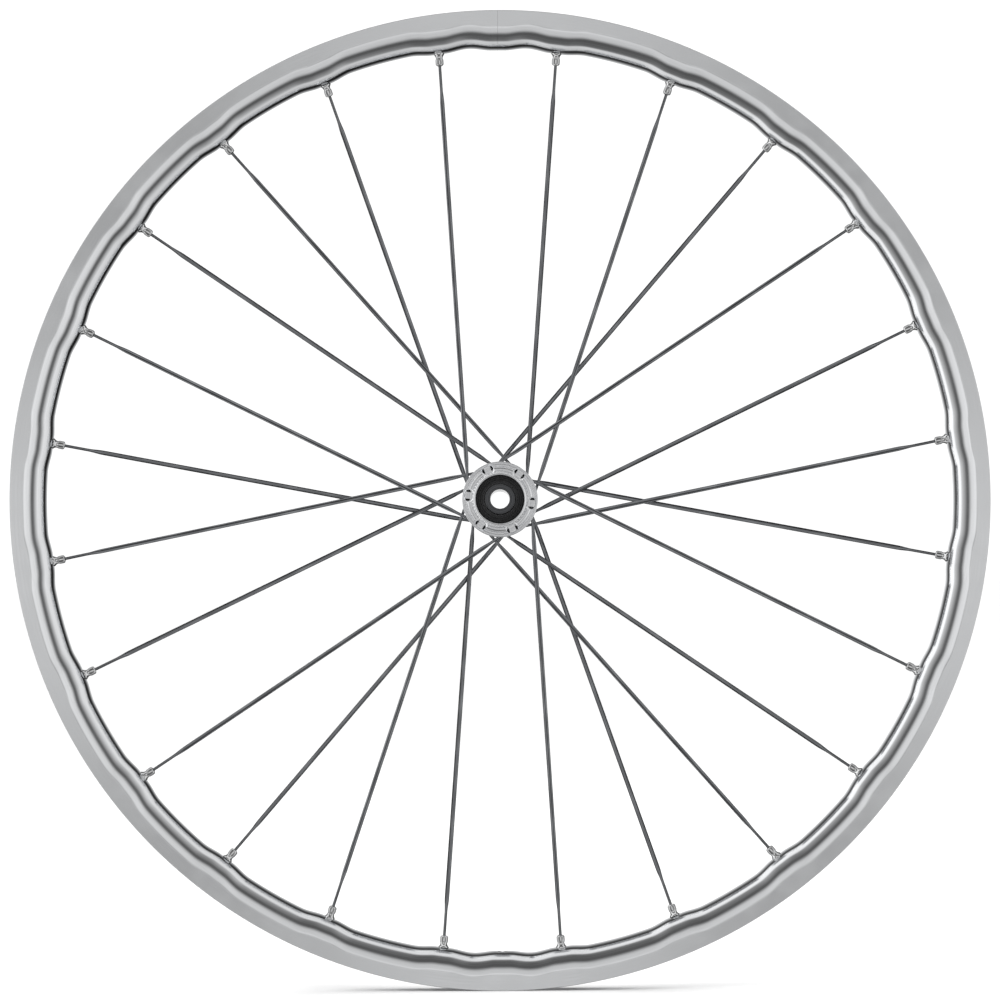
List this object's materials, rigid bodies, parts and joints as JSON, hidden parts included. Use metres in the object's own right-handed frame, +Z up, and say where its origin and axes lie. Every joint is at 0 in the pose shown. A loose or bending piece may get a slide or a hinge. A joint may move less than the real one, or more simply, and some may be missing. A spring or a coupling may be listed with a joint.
{
  "type": "bicycle wheel",
  "caption": "Front road-bicycle wheel: shallow polished alloy rim milled between the spokes, bladed straight-pull spokes, hub for a thru axle and a splined disc rotor.",
  "frame": {"origin": "centre of the wheel, on the axle line midway between the two dropout faces", "axes": "+Y along the axle, from the rotor side (left) to the plain side (right); +Z up, the valve hole is at the bottom; +X to the rear"},
  "size_m": [0.634, 0.1, 0.634],
  "materials": {
    "rim_alloy": "polished, with machined relief between the spokes",
    "hub_alloy": "turned and satin polished",
    "black_anodised": "black anodised",
    "bearing_steel": "ground bearing steel",
    "seal_rubber": "moulded rubber",
    "spoke_steel": "drawn and flattened stainless steel",
    "nipple_alloy": "bright machined"
  },
  "bodies": {
    "axle": {"axle": "black_anodised", "end_cap_right": "black_anodised", "bearing_inner_ring_left": "bearing_steel", "bearing_inner_ring_right": "bearing_steel"},
    "wheel": {"rim": "rim_alloy", "hub_shell": "hub_alloy", "bearing_outer_ring_left": "bearing_steel", "bearing_outer_ring_right": "bearing_steel", "ball_cage_left": "bearing_steel", "ball_cage_right": "bearing_steel", "dust_seal_left": "seal_rubber", "dust_seal_right": "seal_rubber", "spoke_01": "spoke_steel", "spoke_02": "spoke_steel", "spoke_03": "spoke_steel", "spoke_04": "spoke_steel", "spoke_05": "spoke_steel", "spoke_06": "spoke_steel", "spoke_07": "spoke_steel", "spoke_08": "spoke_steel", "spoke_09": "spoke_steel", "spoke_10": "spoke_steel", "spoke_11": "spoke_steel", "spoke_12": "spoke_steel", "spoke_13": "spoke_steel", "spoke_14": "spoke_steel", "spoke_15": "spoke_steel", "spoke_16": "spoke_steel", "spoke_17": "spoke_steel", "spoke_18": "spoke_steel", "spoke_19": "spoke_steel", "spoke_20": "spoke_steel", "spoke_21": "spoke_steel", "spoke_22": "spoke_steel", "spoke_23": "spoke_steel", "spoke_24": "spoke_steel", "nipple_01": "nipple_alloy", "nipple_02": "nipple_alloy", "nipple_03": "nipple_alloy", "nipple_04": "nipple_alloy", "nipple_05": "nipple_alloy", "nipple_06": "nipple_alloy", "nipple_07": "nipple_alloy", "nipple_08": "nipple_alloy", "nipple_09": "nipple_alloy", "nipple_10": "nipple_alloy", "nipple_11": "nipple_alloy", "nipple_12": "nipple_alloy", "nipple_13": "nipple_alloy", "nipple_14": "nipple_alloy", "nipple_15": "nipple_alloy", "nipple_16": "nipple_alloy", "nipple_17": "nipple_alloy", "nipple_18": "nipple_alloy", "nipple_19": "nipple_alloy", "nipple_20": "nipple_alloy", "nipple_21": "nipple_alloy", "nipple_22": "nipple_alloy", "nipple_23": "nipple_alloy", "nipple_24": "nipple_alloy"}
  },
  "joints": [
    {"name": "wheel_spin", "type": "hinge", "parent": "axle", "child": "wheel", "pos_m": [0, 0, 0], "axis": [0, 1, 0], "continuous": true}
  ]
}
